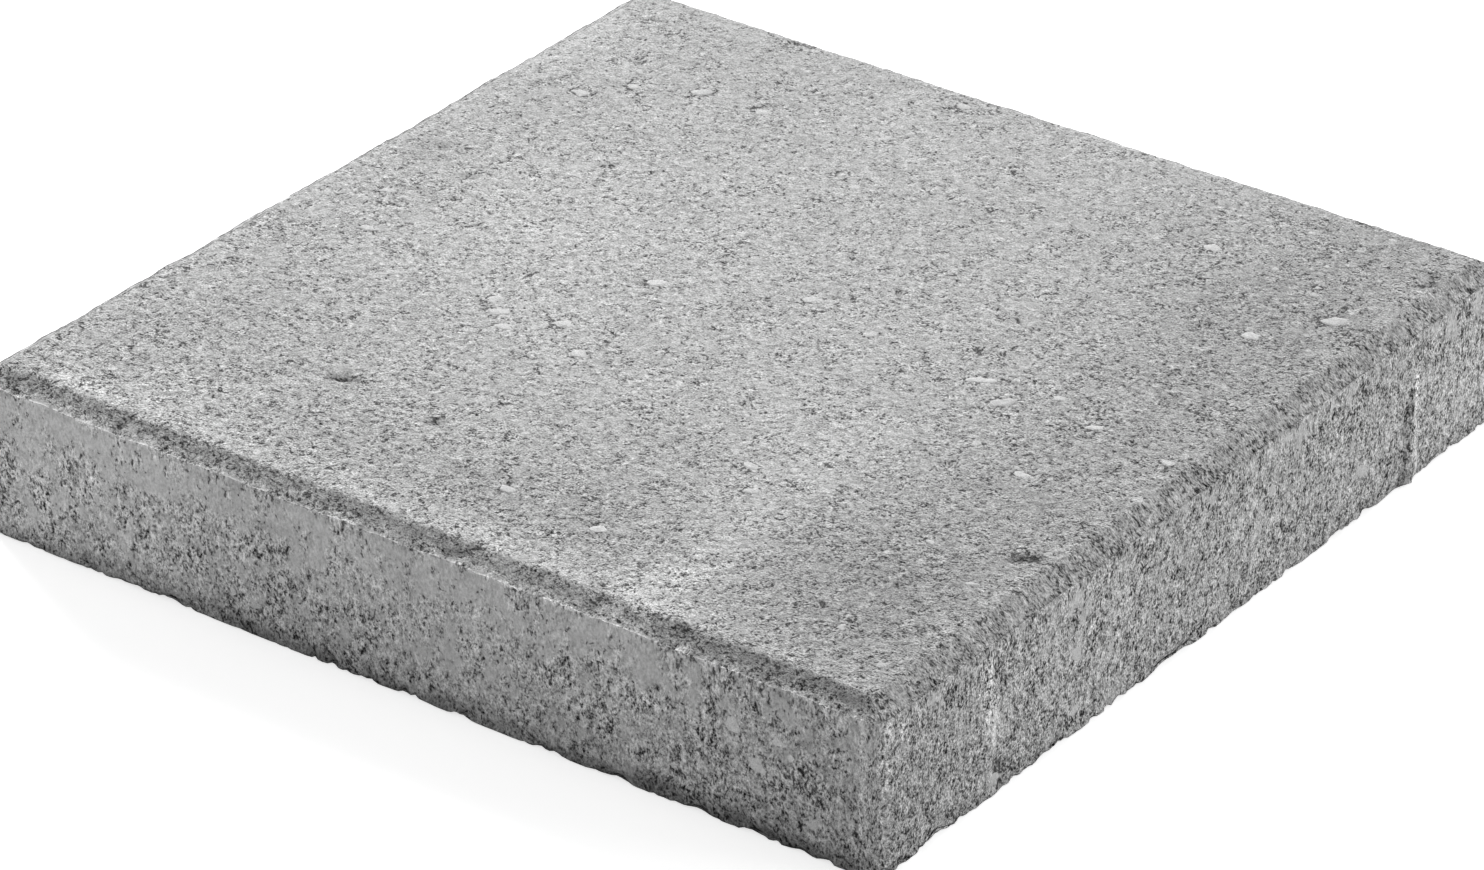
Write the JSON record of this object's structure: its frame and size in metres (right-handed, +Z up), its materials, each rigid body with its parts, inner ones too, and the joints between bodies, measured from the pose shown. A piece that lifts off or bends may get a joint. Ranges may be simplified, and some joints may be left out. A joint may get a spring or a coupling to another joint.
{
  "type": "concrete paving slab",
  "caption": "Square cast concrete paving slab with a bevelled walking face and narrow upright spacer ribs on one side.",
  "frame": {"origin": "middle of the underside's square, on the plane that the slab rests on", "axes": "+Z up, out of the walking face; +X towards the side that has the spacer ribs; +Y along that side"},
  "size_m": [0.3, 0.298, 0.05],
  "materials": {
    "concrete": "dry cast grey concrete, fine grained and slightly pitted"
  },
  "bodies": {
    "root": {"slab": "concrete"}
  },
  "joints": []
}
